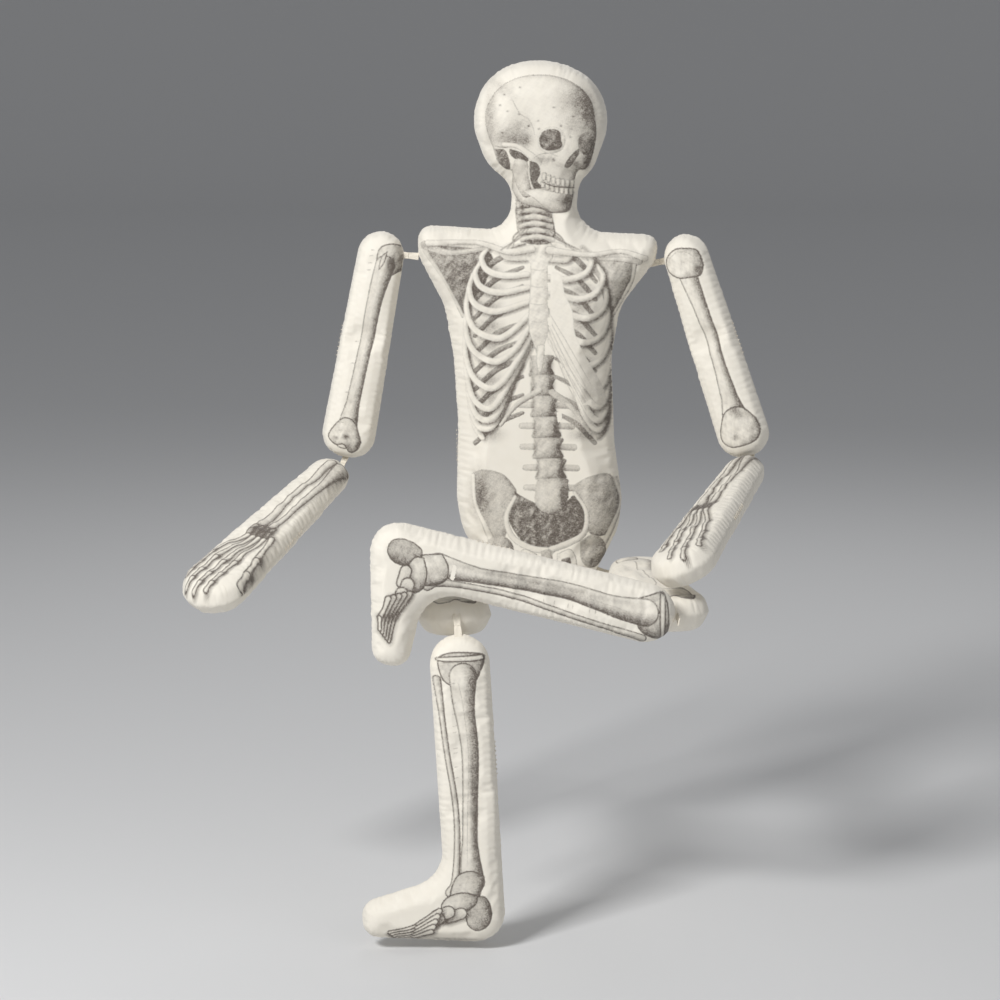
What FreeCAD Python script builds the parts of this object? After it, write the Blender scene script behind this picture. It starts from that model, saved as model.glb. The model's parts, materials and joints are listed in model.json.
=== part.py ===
"""Stuffed cloth skeleton doll, seated with its left leg crossed over the right.

Nine stuffed cushions (trunk with neck and head, two upper arms, two forearms with hands, two
thighs, two shins with feet) hang on each other by eight short cloth tapes.  Each cushion is a
front panel and a back panel of cloth sewn together round a stuffing.  Millimetres, +Z up, the
doll faces -Y, and the origin is the middle of the flat patch that it sits on.
"""
import FreeCAD, Part
import os
import Sketcher

from FreeCAD import Placement, Rotation, Vector

SIZES = [
    # cloth, seams and tapes
    ("cloth", 1.2), ("seam_strip", 9), ("clearance", 0.3),
    ("tape_width", 10), ("tape_thick", 1.6), ("shoulder_tape_length", 12), ("elbow_tape_length", 18),
    ("hip_tape_length", 20), ("right_knee_tape_length", 22), ("left_knee_tape_length", 31),
    ("stitch_count", 8), ("stitch_pitch", 6), ("stitch_thread", 1), ("stitch_reach", 5),
    # trunk: widths across the front, heights above the seat
    ("seat_width", 124), ("hip_width", 228), ("hip_height", 92),
    ("waist_width", 222), ("waist_height", 330), ("shoulder_width", 334),
    ("armpit_height", 446), ("trunk_height", 508), ("trunk_thick", 100), ("trunk_rim", 34),
    ("trunk_corner", 36), ("trunk_bend", 90), ("right_shoulder_height", 476), ("left_shoulder_height", 460),
    ("trunk_lean", 1.2), ("trunk_offset", -6), ("seat_flat", 3),
    # neck and head
    ("neck_width", 88), ("neck_length", 103), ("neck_thick", 62), ("neck_sunk", 38), ("neck_shift", 14),
    ("chin_width", 106), ("head_width", 182), ("head_length", 192), ("head_thick", 94),
    ("chin_corner", 44), ("crown_corner", 72), ("neck_corner", 28), ("head_sunk", 32),
    ("head_tilt", 2.5),
    # arms
    ("arm_top_width", 64), ("arm_end_width", 77), ("arm_length", 320), ("arm_thick", 52),
    ("arm_corner", 30), ("arm_tape_inset", 27),
    ("forearm_width", 54), ("hand_width", 92), ("forearm_length", 348), ("forearm_thick", 46),
    ("elbow_corner", 25), ("hand_corner", 40),
    # legs
    ("thigh_width", 92), ("knee_width", 98), ("thigh_length", 368), ("thigh_thick", 46),
    ("thigh_corner", 40), ("thigh_lift", 1.5), ("crossed_knee_rise", 6),
    ("crossing_gap", 1.6),
    ("shin_width", 78), ("ankle_width", 68), ("shin_length", 412), ("shin_thick", 46),
    ("shin_corner", 36), ("heel_out", 12), ("foot_length", 188), ("foot_height", 92),
    ("toe_height", 46), ("instep_corner", 40), ("toe_corner", 20),
    ("right_sole_rise", 14), ("left_sole_rise", 44),
]

doc = FreeCAD.newDocument("ClothSkeleton")
sheet = doc.addObject("Spreadsheet::Sheet", "Sizes")
for row, (alias, number) in enumerate(SIZES, start=1):
    sheet.set(f"A{row}", alias)
    sheet.set(f"B{row}", str(number))
    sheet.setAlias(f"B{row}", alias)
doc.recompute()

nodes = []
EPS = 1e-6


def size(expression):
    """The number that an expression on the sheet gives."""
    return float(sheet.evalExpression(expression))


def of_sheet(name):
    return size("Sizes." + name)


# --- sewn outlines -------------------------------------------------------------------------

def inward(points):
    """For each corner of an outline, the step that moves both its sides in by one."""
    steps = []
    for before, here, after in zip(points[-1:] + points[:-1], points, points[1:] + points[:1]):
        first, second = (here - before).normalize(), (after - here).normalize()
        left_of = [Vector(-side.y, side.x, 0) for side in (first, second)]
        steps.append((left_of[0] + left_of[1]) / (1 + left_of[0].dot(left_of[1])))
    return steps


def turns_inward(points, index):
    before, here, after = points[index - 1], points[index], points[(index + 1) % len(points)]
    return (here - before).cross(after - here).z < 0


def draw_outline(sketch, corners):
    """A closed outline, counter-clockwise, each corner bound to its two expressions."""
    points = [Vector(size(x), size(y), 0) for x, y in corners]
    for start, end in zip(points, points[1:] + points[:1]):
        sketch.addGeometry(Part.LineSegment(start, end), False)
    for index, (x, y) in enumerate(corners):
        following = (index + 1) % len(corners)
        sketch.addConstraint(Sketcher.Constraint("Coincident", index, 2, following, 1))
        for kind, axis, text, number in (("DistanceX", -2, x, points[index].x),
                                         ("DistanceY", -1, y, points[index].y)):
            if number < EPS:
                sketch.addConstraint(Sketcher.Constraint("PointOnObject", index, 1, axis))
                continue
            place = sketch.addConstraint(Sketcher.Constraint(kind, -1, 1, index, 1, number))
            sketch.setExpression(f"Constraints[{place}]", text)
    return points


def add_fillet(body, base, edges, radius):
    fillet = body.newObject("PartDesign::Fillet", base.Name + "_round")
    fillet.Base = (base, edges)
    fillet.setExpression("Radius", radius)
    doc.recompute()
    return fillet


def pillow(name, corners, rounds, thick, rim, inset="0"):
    """A padded outline with rounded corners and a round rim.

    corners are the outline's expressions, rounds gives (corner numbers, radius), and inset
    moves the whole surface in, which is how a stuffing fits inside its cloth.
    """
    body = doc.addObject("PartDesign::Body", name)
    sketch = body.newObject("Sketcher::SketchObject", name + "_outline")
    plane = next(item for item in body.Origin.OriginFeatures if item.Role == "XY_Plane")
    sketch.AttachmentSupport = [(plane, "")]
    sketch.MapMode = "FlatFace"
    outer = [Vector(size(x), size(y), 0) for x, y in corners]
    if inset != "0":
        corners = [(f"{x} + ({step.x:.6f}) * {inset}", f"{y} + ({step.y:.6f}) * {inset}")
                   for (x, y), step in zip(corners, inward(outer))]
    points = draw_outline(sketch, corners)
    pad = body.newObject("PartDesign::Pad", name + "_pad")
    pad.Profile = sketch
    pad.SideType = "Symmetric"
    pad.setExpression("Length", f"{thick} - 2 * {inset}")
    doc.recompute()
    shaped = pad
    for numbers, radius in rounds:
        for hollow in (False, True):
            chosen = [number for number in numbers if turns_inward(outer, number) == hollow]
            edges = [f"Edge{index}" for index, edge in enumerate(shaped.Shape.Edges, start=1)
                     if any(stands_at(edge, points[number]) for number in chosen)]
            if edges:
                sign = "+" if hollow else "-"
                shaped = add_fillet(body, shaped, edges, f"{radius} {sign} {inset}")
    half = size(f"{thick} / 2 - {inset}")
    rims = [f"Edge{index}" for index, edge in enumerate(shaped.Shape.Edges, start=1)
            if all(abs(abs(vertex.Z) - half) < EPS for vertex in edge.Vertexes)]
    shaped = add_fillet(body, shaped, rims, f"{rim} - {inset}")
    body.Tip = shaped
    doc.recompute()
    return body


def stands_at(edge, point):
    """True for a pad's corner edge, which stands straight up over this point."""
    ends = [vertex.Point for vertex in edge.Vertexes]
    return len(ends) == 2 and all(abs(end.x - point.x) < 1e-4 and abs(end.y - point.y) < 1e-4 for end in ends)


def tapered(near_width, far_width, length):
    """A tapered outline, centred on half of its wider end, from its near end at 0."""
    wide = far_width if size(far_width) >= size(near_width) else near_width
    return [(f"({wide} - {near_width}) / 2", "0 * Sizes.cloth"),
            (f"({wide} + {near_width}) / 2", "0 * Sizes.cloth"),
            (f"({wide} + {far_width}) / 2", length), (f"({wide} - {far_width}) / 2", length)]


# --- placing and naming ----------------------------------------------------------------------

def frame_at(place, along, facing, anchor):
    """The placement that puts a cushion's anchor at place, its length along, its front facing."""
    along = Vector(along).normalize()
    facing = Vector(facing)
    facing = (facing - along * facing.dot(along)).normalize()
    turn = Rotation(along.cross(facing), along, facing, "XYZ")
    return Placement(place - turn.multVec(anchor), turn)


def name_node(item, label):
    item.Label = label
    nodes.append(item)
    return item


def boolean(kind, name, base, tool):
    item = doc.addObject(kind, name)
    item.Base, item.Tool = base, tool
    return item


def half_space(name, place, front):
    """A block that holds all of a cushion on one side of its seam."""
    reach = 1000  # far past every cushion's edge
    block = doc.addObject("Part::Box", name)
    block.Length, block.Width, block.Height = reach, 2 * reach, reach
    block.Placement = place.multiply(Placement(Vector(-reach / 4, -reach, 0 if front else -reach), Rotation()))
    return block


def sew(name, outer, stuffing, place):
    """Front and back panels: the cloth between the outer surface and the stuffing."""
    name_node(stuffing, name + "_stuffing")
    cloth = boolean("Part::Cut", name + "_cloth", outer, stuffing)
    for side in ("front", "back"):
        block = half_space(f"{name}_{side}_half", place, side == "front")
        name_node(boolean("Part::Common", f"{name}_{side}", cloth, block), f"{name}_{side}_panel")


def close_by_hand(name, place, start, end, share):
    """The row of hand stitches that closes the gap the stuffing went in by.

    The row lies on the seam's flat strip, along the outline's side from start to end, which
    follow each other in the outline's own counter-clockwise order.
    """
    along = (end - start).normalize()
    turn = Rotation(Vector(along.y, -along.x, 0), along, Vector(0, 0, 1), "XYZ")
    middle = start + (end - start) * share
    row_length = (of_sheet("stitch_count") - 1) * of_sheet("stitch_pitch")
    stitches = []
    for number in range(int(of_sheet("stitch_count"))):
        stitch = doc.addObject("Part::Box", f"{name}_stitch_{number}")
        for side, text in (("Length", "stitch_thread"), ("Width", "stitch_thread"), ("Height", "stitch_reach")):
            stitch.setExpression(side, "Sizes." + text)
        spot = middle + along * (number * of_sheet("stitch_pitch") - row_length / 2)
        corner = turn.multVec(Vector(0, 0, -of_sheet("stitch_reach") / 2))
        stitch.Placement = place.multiply(Placement(spot + corner, turn))
        stitches.append(stitch)
    row = doc.addObject("Part::Compound", name + "_stitches")
    row.Links = stitches
    name_node(row, name + "_closing_stitches")


def tape(name, start, leaving, entering, length, across=None, towards=None):
    """A flat cloth tape with round ends; returns where it meets the next cushion's seam.

    start is on the first cushion's seam, leaving points straight out of it there, and entering
    points straight into the next cushion.  The tape turns on the centres of its two round ends,
    and each end stays the clearance away from its cushion however it turns.
    """
    if across is None:
        across = leaving.cross(entering)
    if towards is None:
        towards = leaving + entering
    towards = towards.normalize()
    across = (across - towards * across.dot(towards)).normalize()
    thick, gap = of_sheet("tape_thick"), size("Sizes.tape_width / 2 + Sizes.clearance")
    between = f"{length} - Sizes.tape_width"
    first = start + leaving * gap
    last = first + towards * size(between)
    place = Placement(first, Rotation(across, towards, across.cross(towards), "XYZ"))
    strip = doc.addObject("Part::Box", name + "_strip")
    strip.setExpression("Length", "Sizes.tape_width")
    strip.setExpression("Width", between)
    strip.setExpression("Height", "Sizes.tape_thick")
    strip.Placement = place.multiply(Placement(Vector(-of_sheet("tape_width") / 2, 0, -thick / 2), Rotation()))
    parts = [strip]
    for end, centre in (("near", 0), ("far", size(between))):
        disc = doc.addObject("Part::Cylinder", f"{name}_{end}_end")
        disc.setExpression("Radius", "Sizes.tape_width / 2")
        disc.setExpression("Height", "Sizes.tape_thick")
        disc.Placement = place.multiply(Placement(Vector(0, centre, -thick / 2), Rotation()))
        parts.append(disc)
    whole = doc.addObject("Part::MultiFuse", name)
    whole.Shapes = parts
    whole.Refine = True
    name_node(whole, name)
    pivots.append((name, first, last, across, towards))
    return last + entering * gap


pivots = []


def simple_cushion(name, corners, rounds, thick, place):
    """One limb cushion: outer surface, stuffing, two panels and its closing stitches."""
    rim = f"({thick} - Sizes.seam_strip) / 2"
    outer = pillow(name + "_outer", corners, rounds, thick, rim)
    stuffing = pillow(name + "_core", corners, rounds, thick, rim, "Sizes.cloth")
    outer.Placement = stuffing.Placement = place
    sew(name, outer, stuffing, place)


def corner_point(corners, number):
    return Vector(size(corners[number][0]), size(corners[number][1]), 0)


def point_at(place, x, y):
    return place.multVec(Vector(x, y, 0))


def on_side(corners, low, high, height):
    """The point of an outline's side, between two of its corners, at this height."""
    start, end = corner_point(corners, low), corner_point(corners, high)
    return start + (end - start) * ((height - start.y) / (end.y - start.y))


# --- trunk, neck and head: one cushion ---------------------------------------------------------

MIDDLE = "Sizes.shoulder_width / 2"
TRUNK = [(f"{MIDDLE} - Sizes.seat_width / 2", "0 * Sizes.cloth"),
         (f"{MIDDLE} + Sizes.seat_width / 2", "0 * Sizes.cloth"),
         (f"{MIDDLE} + Sizes.hip_width / 2", "Sizes.hip_height"),
         (f"{MIDDLE} + Sizes.waist_width / 2", "Sizes.waist_height"),
         (f"{MIDDLE} + Sizes.shoulder_width / 2", "Sizes.armpit_height"),
         (f"{MIDDLE} + Sizes.shoulder_width / 2", "Sizes.trunk_height"),
         (f"{MIDDLE} - Sizes.shoulder_width / 2", "Sizes.trunk_height"),
         (f"{MIDDLE} - Sizes.shoulder_width / 2", "Sizes.armpit_height"),
         (f"{MIDDLE} - Sizes.waist_width / 2", "Sizes.waist_height"),
         (f"{MIDDLE} - Sizes.hip_width / 2", "Sizes.hip_height")]
SEAT_CORNERS, BENDS, SHOULDERS = (0, 1), (2, 3, 8, 9), (4, 5, 6, 7)
UP, FORWARD, LEFT = Vector(0, 0, 1), Vector(0, -1, 0), Vector(1, 0, 0)

middle = size(MIDDLE)
lean = Rotation(Vector(0, 1, 0), -of_sheet("trunk_lean"))
trunk_up = lean.multVec(UP)
trunk_place = frame_at(Vector(of_sheet("trunk_offset"), 0, -of_sheet("seat_flat")), trunk_up, FORWARD,
                       Vector(middle, 0, 0))
neck_root = point_at(trunk_place, middle + of_sheet("neck_shift"), size("Sizes.trunk_height - Sizes.neck_sunk"))
chin = neck_root + UP * size("Sizes.neck_length - Sizes.head_sunk")
crown_way = Rotation(Vector(0, 1, 0), -of_sheet("head_tilt")).multVec(UP)

NECK = tapered("Sizes.neck_width", "Sizes.neck_width", "Sizes.neck_length")
HEAD = tapered("Sizes.chin_width", "Sizes.head_width", "Sizes.head_length")
lobes = [
    ("trunk", TRUNK, [(SEAT_CORNERS + SHOULDERS, "Sizes.trunk_corner"), (BENDS, "Sizes.trunk_bend")],
     "Sizes.trunk_thick", "Sizes.trunk_rim", trunk_place),
    ("neck", NECK, [((0, 1, 2, 3), "Sizes.neck_corner")],
     "Sizes.neck_thick", "(Sizes.neck_thick - Sizes.seam_strip) / 2",
     frame_at(neck_root, UP, FORWARD, Vector(size("Sizes.neck_width / 2"), 0, 0))),
    ("head", HEAD, [((0, 1), "Sizes.chin_corner"), ((2, 3), "Sizes.crown_corner")],
     "Sizes.head_thick", "(Sizes.head_thick - Sizes.seam_strip) / 2",
     frame_at(chin, crown_way, FORWARD, Vector(size("Sizes.head_width / 2"), 0, 0))),
]

SEAT_BLOCK = 300
seated = []
for surface, inset in (("outer", "0"), ("core", "Sizes.cloth")):
    swollen = doc.addObject("Part::MultiFuse", "torso_" + surface)
    parts = []
    for name, corners, rounds, thick, rim, place in lobes:
        lobe = pillow(f"{name}_{surface}", corners, rounds, thick, rim, inset)
        lobe.Placement = place
        parts.append(lobe)
    swollen.Shapes = parts
    block = doc.addObject("Part::Box", f"seat_{surface}")
    block.Length = block.Width = block.Height = 2 * SEAT_BLOCK
    block.Placement = Placement(Vector(-SEAT_BLOCK, -SEAT_BLOCK, size(inset) - 2 * SEAT_BLOCK), Rotation())
    seated.append(boolean("Part::Cut", f"torso_{surface}_seated", swollen, block))
sew("torso", seated[0], seated[1], trunk_place)
close_by_hand("torso", trunk_place, corner_point(TRUNK, 8), corner_point(TRUNK, 9), 0.5)

# --- limbs -------------------------------------------------------------------------------------

ARM = tapered("Sizes.arm_top_width", "Sizes.arm_end_width", "Sizes.arm_length")
FOREARM = tapered("Sizes.forearm_width", "Sizes.hand_width", "Sizes.forearm_length")
THIGH = tapered("Sizes.thigh_width", "Sizes.knee_width", "Sizes.thigh_length")
HEEL = "Sizes.heel_out"
ALL_FOUR = (0, 1, 2, 3)


def shin_outline(side):
    """Knee end at 0, heel at the shin's length and on the outline's low side.

    The foot hangs as far from square as its own sole rise says, and a left shin is mirrored, so
    that its toes are on the low side.
    """
    toes = f"Sizes.shin_length - Sizes.{side}_sole_rise"
    corners = [(HEEL, "0 * Sizes.cloth"), (f"{HEEL} + Sizes.shin_width", "0 * Sizes.cloth"),
               (f"{HEEL} + Sizes.ankle_width", "Sizes.shin_length - Sizes.foot_height"),
               ("Sizes.foot_length", toes + " - Sizes.toe_height"),
               ("Sizes.foot_length", toes), ("0 * Sizes.cloth", "Sizes.shin_length")]
    if side == "left":
        corners = [(f"Sizes.foot_length - ({x})", y) for x, y in reversed(corners)]
    return corners


def end_middle(corners, first, second):
    return (corner_point(corners, first) + corner_point(corners, second)) / 2


def to_rest(drop, length, heading):
    """A direction that goes down by drop over a length, on a level heading."""
    fall = drop / length
    level = Vector(heading.x, heading.y, 0).normalize()
    return level * (1 - fall * fall) ** 0.5 - UP * fall


ARM_WAYS = {"right": Vector(-0.18, 0, -0.984), "left": Vector(0.31, -0.1, -0.945)}
ARM_FACINGS = {"right": Vector(-0.1, -0.995, 0), "left": Vector(-0.35, -0.937, 0)}
FOREARM_HEADINGS = {"right": Vector(-0.55, -0.835, 0), "left": Vector(-0.36, -0.933, 0)}
THIGH_WAYS = {"right": Vector(0.09, -0.996, 0), "left": Vector(0.10, -0.995, 0)}
HIP_OUTWARD = 0.88
HAND_OVER_KNEE = 4
thigh_axis = size("Sizes.thigh_lift + Sizes.thigh_thick / 2")
thigh_top = size("Sizes.thigh_lift + Sizes.thigh_thick")
rest_heights = {"right": size("Sizes.thigh_lift + Sizes.forearm_thick / 2"),
                "left": thigh_top + HAND_OVER_KNEE + size("Sizes.forearm_thick / 2 + Sizes.crossed_knee_rise")}

for side, outward in (("right", -1), ("left", 1)):
    # shoulder tape and upper arm: the tape joins the arm's inner side just below its top
    seam_x = middle + outward * size("Sizes.shoulder_width / 2")
    shoulder = point_at(trunk_place, seam_x, of_sheet(side + "_shoulder_height"))
    way = ARM_WAYS[side].normalize()
    arm_turn = frame_at(Vector(), way, ARM_FACINGS[side], Vector()).Rotation
    inner = on_side(ARM, 0, 3, of_sheet("arm_tape_inset")) if side == "right" else on_side(
        ARM, 1, 2, of_sheet("arm_tape_inset"))
    into_arm = arm_turn.multVec(Vector(1 if side == "right" else -1, 0, 0))
    meets = tape(f"{side}_shoulder_tape", shoulder, lean.multVec(LEFT) * outward, into_arm,
                 "Sizes.shoulder_tape_length", UP)
    place = frame_at(meets, way, ARM_FACINGS[side], inner)
    simple_cushion(f"{side}_upper_arm", ARM, [(ALL_FOUR, "Sizes.arm_corner")], "Sizes.arm_thick", place)
    outer_side = (3, 0) if side == "left" else (1, 2)
    close_by_hand(f"{side}_upper_arm", place, *(corner_point(ARM, number) for number in outer_side), 0.5)
    elbow = place.multVec(end_middle(ARM, 2, 3))

    # elbow tape and forearm with hand: the hand's end comes to rest on the seat or on the knee
    drop = elbow.z - of_sheet("elbow_tape_length") - rest_heights[side]
    forearm_way = to_rest(drop, of_sheet("forearm_length"), FOREARM_HEADINGS[side])
    meets = tape(f"{side}_elbow_tape", elbow, way, forearm_way, "Sizes.elbow_tape_length")
    fold = pivots[-1][3]
    place = frame_at(meets, forearm_way, fold.cross(forearm_way), end_middle(FOREARM, 0, 1))
    simple_cushion(f"{side}_forearm", FOREARM, [((0, 1), "Sizes.elbow_corner"), ((2, 3), "Sizes.hand_corner")],
                   "Sizes.forearm_thick", place)
    close_by_hand(f"{side}_forearm", place, corner_point(FOREARM, 3), corner_point(FOREARM, 0), 0.5)

    # hip tape and thigh: the tape joins the round inner corner of the thigh's top end
    low, high = (1, 2) if side == "left" else (0, 9)
    low, high = (trunk_place.multVec(corner_point(TRUNK, number)) for number in (low, high))
    leaving = (high - low).cross(FORWARD).normalize() * outward
    entering = Vector(outward * HIP_OUTWARD, -((1 - HIP_OUTWARD ** 2) ** 0.5), 0)
    fall = (leaving + entering).normalize()
    start_height = thigh_axis - fall.z * of_sheet("hip_tape_length")
    start = low + (high - low) * ((start_height - low.z) / (high.z - low.z))
    meets = tape(f"{side}_hip_tape", start, leaving, entering, "Sizes.hip_tape_length")
    way = THIGH_WAYS[side].normalize()
    if side == "left":
        way = (way + UP * size("Sizes.crossed_knee_rise / Sizes.thigh_length")).normalize()
    turn = frame_at(Vector(), way, UP, Vector()).Rotation
    radius = of_sheet("thigh_corner")
    thigh_points = [corner_point(THIGH, number) for number in ALL_FOUR]
    inner = 0 if side == "right" else 1
    centre = thigh_points[inner] + inward(thigh_points)[inner] * radius
    place = frame_at(meets, way, UP, centre - turn.inverted().multVec(entering) * radius)
    simple_cushion(f"{side}_thigh", THIGH, [(ALL_FOUR, "Sizes.thigh_corner")], "Sizes.thigh_thick", place)
    close_by_hand(f"{side}_thigh", place, corner_point(THIGH, 1), corner_point(THIGH, 2), 0.5)
    knee = place.multVec(end_middle(THIGH, 2, 3))

    # knee tape and shin with foot: the right one hangs, the left one crosses over the right thigh
    if side == "right":
        right_knee = knee
        shin_way, towards = Vector(0.03, -0.02, -1).normalize(), None
    else:
        rim = size("(Sizes.thigh_thick - Sizes.seam_strip) / 2")
        over = Vector(right_knee.x + size("Sizes.knee_width / 2") - rim, knee.y,
                      thigh_top + size("Sizes.crossing_gap + (Sizes.shin_width + Sizes.ankle_width) / 4"))
        shin_way, towards = (over - knee).normalize(), FORWARD
    outline = shin_outline(side)
    meets = tape(f"{side}_knee_tape", knee, way, shin_way, f"Sizes.{side}_knee_tape_length", None, towards)
    top = (0, 1) if side == "right" else (4, 5)
    place = frame_at(meets, shin_way, FORWARD, end_middle(outline, *top))
    toes = (3, 4) if side == "right" else (1, 2)
    instep = 2 if side == "right" else 3
    heel = 5 if side == "right" else 0
    simple_cushion(f"{side}_shin", outline, [(top, "Sizes.shin_corner"), ((instep,), "Sizes.instep_corner"),
                                             ((heel,), "Sizes.shin_corner"), (toes, "Sizes.toe_corner")],
                   "Sizes.shin_thick", place)
    close_by_hand(f"{side}_shin", place, corner_point(outline, 5), corner_point(outline, 0), 0.6)

# --- check and write ---------------------------------------------------------------------------

doc.recompute()
for item in doc.Objects:
    if {"Invalid", "Error"} & set(item.State):
        raise SystemExit(f"{item.Name} failed: {item.State}")
os.makedirs("parts", exist_ok=True)
for item in nodes:
    if item.Shape.isNull() or not item.Shape.isValid() or not item.Shape.Solids:
        raise SystemExit(f"{item.Label} is not a valid solid")
    item.Shape.exportStep(os.path.join("parts", item.Label + ".step"))
    print(f"{item.Label}: {len(item.Shape.Solids)} solids, {item.Shape.Volume / 1000:.2f} cm3")
for name, first, last, across, towards in pivots:
    print("pivot", name, *(f"{number:.3f}" for point in (first, last, across, towards) for number in point))
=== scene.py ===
"""Looks for a life-size stuffed cloth skeleton doll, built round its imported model.

Metres, +Z up, the doll faces -Y.  Drawings on the cloth are given in whole millimetres on each
cushion's own front panel: across it, then along it.
"""
import bpy
import json
import math
import numpy as np
from mathutils import Matrix, Vector
from mathutils.geometry import delaunay_2d_cdt

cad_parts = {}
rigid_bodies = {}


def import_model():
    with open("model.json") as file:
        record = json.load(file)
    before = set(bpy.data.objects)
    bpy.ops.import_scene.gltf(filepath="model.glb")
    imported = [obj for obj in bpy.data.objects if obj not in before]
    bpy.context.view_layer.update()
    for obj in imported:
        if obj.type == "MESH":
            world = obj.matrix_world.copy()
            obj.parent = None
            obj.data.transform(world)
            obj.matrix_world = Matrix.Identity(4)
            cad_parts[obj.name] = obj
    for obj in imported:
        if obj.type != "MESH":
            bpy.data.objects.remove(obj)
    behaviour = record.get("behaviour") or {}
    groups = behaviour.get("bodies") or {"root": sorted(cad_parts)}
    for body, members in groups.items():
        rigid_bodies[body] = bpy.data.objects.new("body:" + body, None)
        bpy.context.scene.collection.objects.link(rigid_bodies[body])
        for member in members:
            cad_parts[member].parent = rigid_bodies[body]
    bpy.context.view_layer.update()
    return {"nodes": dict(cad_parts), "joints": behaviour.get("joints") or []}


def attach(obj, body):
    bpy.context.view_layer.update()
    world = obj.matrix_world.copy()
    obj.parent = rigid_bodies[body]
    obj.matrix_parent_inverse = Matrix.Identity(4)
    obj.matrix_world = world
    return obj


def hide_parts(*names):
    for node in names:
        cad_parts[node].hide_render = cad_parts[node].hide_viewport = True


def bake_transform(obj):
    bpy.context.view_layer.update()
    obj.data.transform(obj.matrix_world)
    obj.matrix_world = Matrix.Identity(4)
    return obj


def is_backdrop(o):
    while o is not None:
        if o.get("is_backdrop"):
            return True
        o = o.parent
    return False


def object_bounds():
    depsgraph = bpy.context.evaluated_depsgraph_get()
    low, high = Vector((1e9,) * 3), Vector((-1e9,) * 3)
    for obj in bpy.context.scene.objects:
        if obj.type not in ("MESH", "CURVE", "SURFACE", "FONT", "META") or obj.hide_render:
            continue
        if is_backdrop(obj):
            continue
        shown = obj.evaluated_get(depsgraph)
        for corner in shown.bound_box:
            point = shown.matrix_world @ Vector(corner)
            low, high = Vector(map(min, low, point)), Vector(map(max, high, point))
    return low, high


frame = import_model()

# --- Camera: level with the chest, a little above it, straight in front of the doll. ------------
camera_data = bpy.data.cameras.new("camera")
camera_data.sensor_width = 36
camera_data.lens = 110.6
camera = bpy.data.objects.new("camera", camera_data)
bpy.context.scene.collection.objects.link(camera)
camera.location = (-0.063, -4.247, 0.800)
camera.rotation_euler = (math.radians(81), 0, 0)
bpy.context.scene.camera = camera

# --- Trunk, neck and head: one cushion of two cotton panels, sewn together inside out, turned,
# stuffed with loose fibre and closed by hand.  The front panel is printed in grey-brown ink
# with an engraving of the skull, rib cage, spine and pelvis; the back panel is bare.
MM = 0.001
SEAM_STEP, FRONT_STEP, BACK_STEP = 5.2 * MM, 5.4 * MM, 9 * MM
PUCKER_PITCH, PUCKER_DEPTH, PUCKER_REACH = 9.5, 1.9, 8.0
FILL_PRESSURE, FILL_STEPS, FILL_STRETCH, SWELL_LIMIT = 4, 20, 0.022, 8 * MM


def rounded(corners):
    """A closed line through corners (across, along, radius), each turned on its own radius."""
    spots = [np.array(corner[:2], float) for corner in corners]
    line = []
    for number, here in enumerate(spots):
        before, after = spots[number - 1], spots[(number + 1) % len(spots)]
        first, second = before - here, after - here
        room = min(np.linalg.norm(first), np.linalg.norm(second)) / 2
        first, second = first / np.linalg.norm(first), second / np.linalg.norm(second)
        half = math.acos(np.clip(first @ second, -1, 1)) / 2
        reach = min(corners[number][2] / math.tan(half), room)
        start, end = here + first * reach, here + second * reach
        for share in np.linspace(0, 1, 9):
            line.append((1 - share) ** 2 * start + 2 * share * (1 - share) * (here * 0.72
                    + (start + end) * 0.14) + share ** 2 * end)
    return np.array(line)


def spread(line, step):
    """The closed line again, with points an even step apart."""
    ring = np.vstack([line, line[:1]])
    run = np.concatenate([[0], np.cumsum(np.linalg.norm(np.diff(ring, axis=0), axis=1))])
    marks = np.linspace(0, run[-1], max(8, round(run[-1] / step)), endpoint=False)
    return np.column_stack([np.interp(marks, run, ring[:, axis]) for axis in (0, 1)])


def from_seam(spots, line):
    """How far spots are inside the closed line, and how far round it their nearest point is."""
    starts, ends = line, np.roll(line, -1, axis=0)
    runs = np.concatenate([[0], np.cumsum(np.linalg.norm(ends - starts, axis=1))])
    depth, round_it = np.empty(len(spots)), np.empty(len(spots))
    for low in range(0, len(spots), 4000):
        here = spots[low:low + 4000, None, :]
        way = (ends - starts)[None]
        share = np.clip(((here - starts) * way).sum(2) / (way ** 2).sum(2), 0, 1)
        gap = np.linalg.norm(here - starts - way * share[..., None], axis=2)
        nearest = gap.argmin(1)
        rows = np.arange(len(nearest))
        x, y = here[:, 0, 0][:, None], here[:, 0, 1][:, None]
        crossed = ((starts[:, 1] > y) != (ends[:, 1] > y)) & (
            x < (ends[:, 0] - starts[:, 0]) * (y - starts[:, 1])
            / np.where(ends[:, 1] == starts[:, 1], 1e-9, ends[:, 1] - starts[:, 1]) + starts[:, 0])
        inside = crossed.sum(1) % 2 == 1
        depth[low:low + 4000] = np.where(inside, 1, -1) * gap[rows, nearest]
        round_it[low:low + 4000] = runs[nearest] + share[rows, nearest] * np.diff(runs)[nearest]
    return depth, round_it


def cut_panel(seam, step):
    """One panel as triangles: points inside the seam line, joined to it."""
    low, high = seam.min(0), seam.max(0)
    grid = []
    for row, y in enumerate(np.arange(low[1], high[1], step * 0.866)):
        grid += [(x, y) for x in np.arange(low[0] + (row % 2) * step / 2, high[0], step)]
    grid = np.array(grid)
    depth, _ = from_seam(grid, seam)
    inner = grid[depth > step * 0.6]
    ring = len(seam)
    edge = [(n, (n + 1) % ring) for n in range(ring)]
    spots, _, faces, came_from, _, _ = delaunay_2d_cdt(
        [Vector(spot) for spot in np.vstack([seam, inner])], edge, [], 1, 1e-9)
    old = [source[0] for source in came_from]
    return np.array([tuple(spot) for spot in spots]), [tuple(face) for face in faces], np.array(old)


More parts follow.
